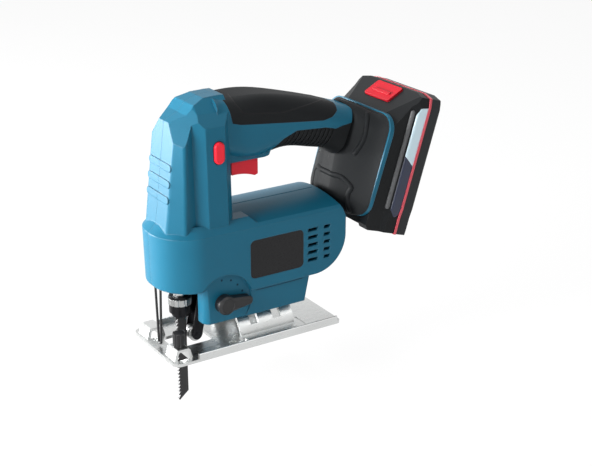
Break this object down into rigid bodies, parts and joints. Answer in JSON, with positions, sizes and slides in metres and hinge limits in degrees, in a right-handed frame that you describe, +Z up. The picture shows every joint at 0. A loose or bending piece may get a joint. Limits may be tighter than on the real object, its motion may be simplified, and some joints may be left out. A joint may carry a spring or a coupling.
{
  "type": "cordless jigsaw",
  "caption": "Cordless jigsaw with a closed handle, slide-on battery, reciprocating blade, orbit roller, bevelling sole plate, trigger, lock button and guard wire.",
  "frame": {"origin": "where the blade axis meets the plane of the sole's underside", "axes": "+X rearward from the blade to the battery, -Y the side with the orbit lever, +Z up along the stroke"},
  "size_m": [0.2021, 0.0722, 0.205],
  "materials": {
    "body_teal": "satin moulded plastic",
    "grip_rubber": "soft matt overmould",
    "plate_black": "bare gloss plate",
    "screw_steel": "plated",
    "guard_black": "black painted wire",
    "bush_bronze": "sintered",
    "seal_rubber": "matt",
    "motor_steel": "turned",
    "magnet_grey": "dark",
    "inner_plastic": "moulded",
    "copper": "bright",
    "gear_steel": "hardened",
    "plunger_steel": "ground",
    "clamp_steel": "blackened",
    "blade_black": "black coated",
    "roller_steel": "hardened",
    "knob_black": "moulded",
    "control_red": "moulded",
    "board_green": "lacquered",
    "sole_steel": "bright plated sheet",
    "pack_black": "fine texture",
    "stripe_red": "moulded",
    "label_blank": "bare printed film",
    "cover_grey": "fine texture",
    "cell_wrap": "shrink wrap"
  },
  "bodies": {
    "housing": {"control_board": "board_green", "dust_seal": "seal_rubber", "field_magnet": "magnet_grey", "front_bearing": "motor_steel", "gear_frame": "motor_steel", "guard_wire": "guard_black", "housing_screw_1": "screw_steel", "housing_screw_2": "screw_steel", "housing_screw_3": "screw_steel", "housing_screw_4": "screw_steel", "housing_screw_5": "screw_steel", "housing_screw_6": "screw_steel", "left_housing": "body_teal", "left_nameplate": "plate_black", "left_neck_cover": "grip_rubber", "lower_bush": "bush_bronze", "motor_can": "motor_steel", "motor_end_cap": "inner_plastic", "palm_grip": "grip_rubber", "rear_bearing": "motor_steel", "right_housing": "body_teal", "right_nameplate": "plate_black", "right_neck_cover": "grip_rubber", "roller_pivot": "roller_steel", "saddle_screw_1": "screw_steel", "saddle_screw_2": "screw_steel", "switch_body": "inner_plastic", "terminal_block": "inner_plastic", "top_grip": "grip_rubber", "upper_bush": "bush_bronze"},
    "rotor": {"motor_shaft": "motor_steel", "rotor_core": "magnet_grey", "commutator": "copper", "cooling_fan": "inner_plastic", "pinion": "gear_steel"},
    "gear": {"drive_gear": "gear_steel", "crank_pin": "motor_steel"},
    "plunger": {"plunger_rod": "plunger_steel", "yoke_plate": "gear_steel", "blade": "blade_black", "blade_clamp": "clamp_steel"},
    "collar": {"clamp_collar": "roller_steel"},
    "roller_arm": {"roller_fork": "roller_steel"},
    "roller": {"blade_roller": "roller_steel"},
    "selector": {"orbit_lever": "knob_black", "orbit_shaft": "knob_black"},
    "trigger": {"trigger": "control_red"},
    "lock": {"lock_button": "control_red"},
    "sole": {"sole_plate": "sole_steel", "bevel_saddle": "sole_steel"},
    "fence_knob": {"fence_screw": "knob_black"},
    "pack": {"pack_case": "pack_black", "left_label": "label_blank", "right_label": "label_blank", "pack_stripe": "stripe_red", "pack_cover": "cover_grey", "cell_pack": "cell_wrap", "pack_contacts": "copper"},
    "release": {"release_button": "control_red"}
  },
  "joints": [
    {"name": "gear_spin", "type": "hinge", "parent": "housing", "child": "gear", "pos_m": [0.0205, 0, 0.0855], "axis": [1, 0, 0], "continuous": true},
    {"name": "rotor_spin", "type": "hinge", "parent": "housing", "child": "rotor", "pos_m": [0.06, 0, 0.063], "axis": [1, 0, 0], "continuous": true},
    {"name": "plunger_stroke", "type": "slide", "parent": "housing", "child": "plunger", "axis": [0, 0, 1], "range_m": [0, 0.018]},
    {"name": "collar_turn", "type": "hinge", "parent": "plunger", "child": "collar", "pos_m": [0, 0, 0.031], "axis": [0, 0, 1], "range_deg": [0, 40], "stiffness_Nm_per_rad": 0.02},
    {"name": "roller_arm_swing", "type": "hinge", "parent": "housing", "child": "roller_arm", "pos_m": [0.016, 0, 0.0395], "axis": [0, -1, 0], "range_deg": [0, 4], "stiffness_Nm_per_rad": 0.2},
    {"name": "roller_spin", "type": "hinge", "parent": "roller_arm", "child": "roller", "pos_m": [0.009, 0, 0.0056], "axis": [0, 1, 0], "continuous": true},
    {"name": "orbit_select", "type": "hinge", "parent": "housing", "child": "selector", "pos_m": [0.018, 0, 0.0334], "axis": [0, -1, 0], "range_deg": [0, 90]},
    {"name": "trigger_pull", "type": "slide", "parent": "housing", "child": "trigger", "axis": [0, 0, 1], "range_m": [0, 0.005], "stiffness_N_per_m": 1200, "springref_m": -0.002},
    {"name": "lock_press", "type": "slide", "parent": "housing", "child": "lock", "axis": [0, 1, 0], "range_m": [0, 0.003], "stiffness_N_per_m": 900, "springref_m": -0.002},
    {"name": "sole_bevel", "type": "hinge", "parent": "housing", "child": "sole", "pos_m": [0.05, 0, 0], "axis": [1, 0, 0], "range_deg": [-30, 30]},
    {"name": "fence_knob_turn", "type": "hinge", "parent": "sole", "child": "fence_knob", "pos_m": [-0.0115, -0.019, 0.013], "axis": [0, 0, 1], "continuous": true},
    {"name": "pack_slide", "type": "slide", "parent": "housing", "child": "pack", "axis": [0.2924, 0, 0.9563], "range_m": [0, 0.07]},
    {"name": "release_press", "type": "slide", "parent": "pack", "child": "release", "axis": [0.4664, 0, -0.8846], "range_m": [0, 0.0012], "stiffness_N_per_m": 1500, "springref_m": -0.001}
  ],
  "couplings": [
    {"joint": "rotor_spin", "follows": "gear_spin", "ratio": -4}
  ]
}
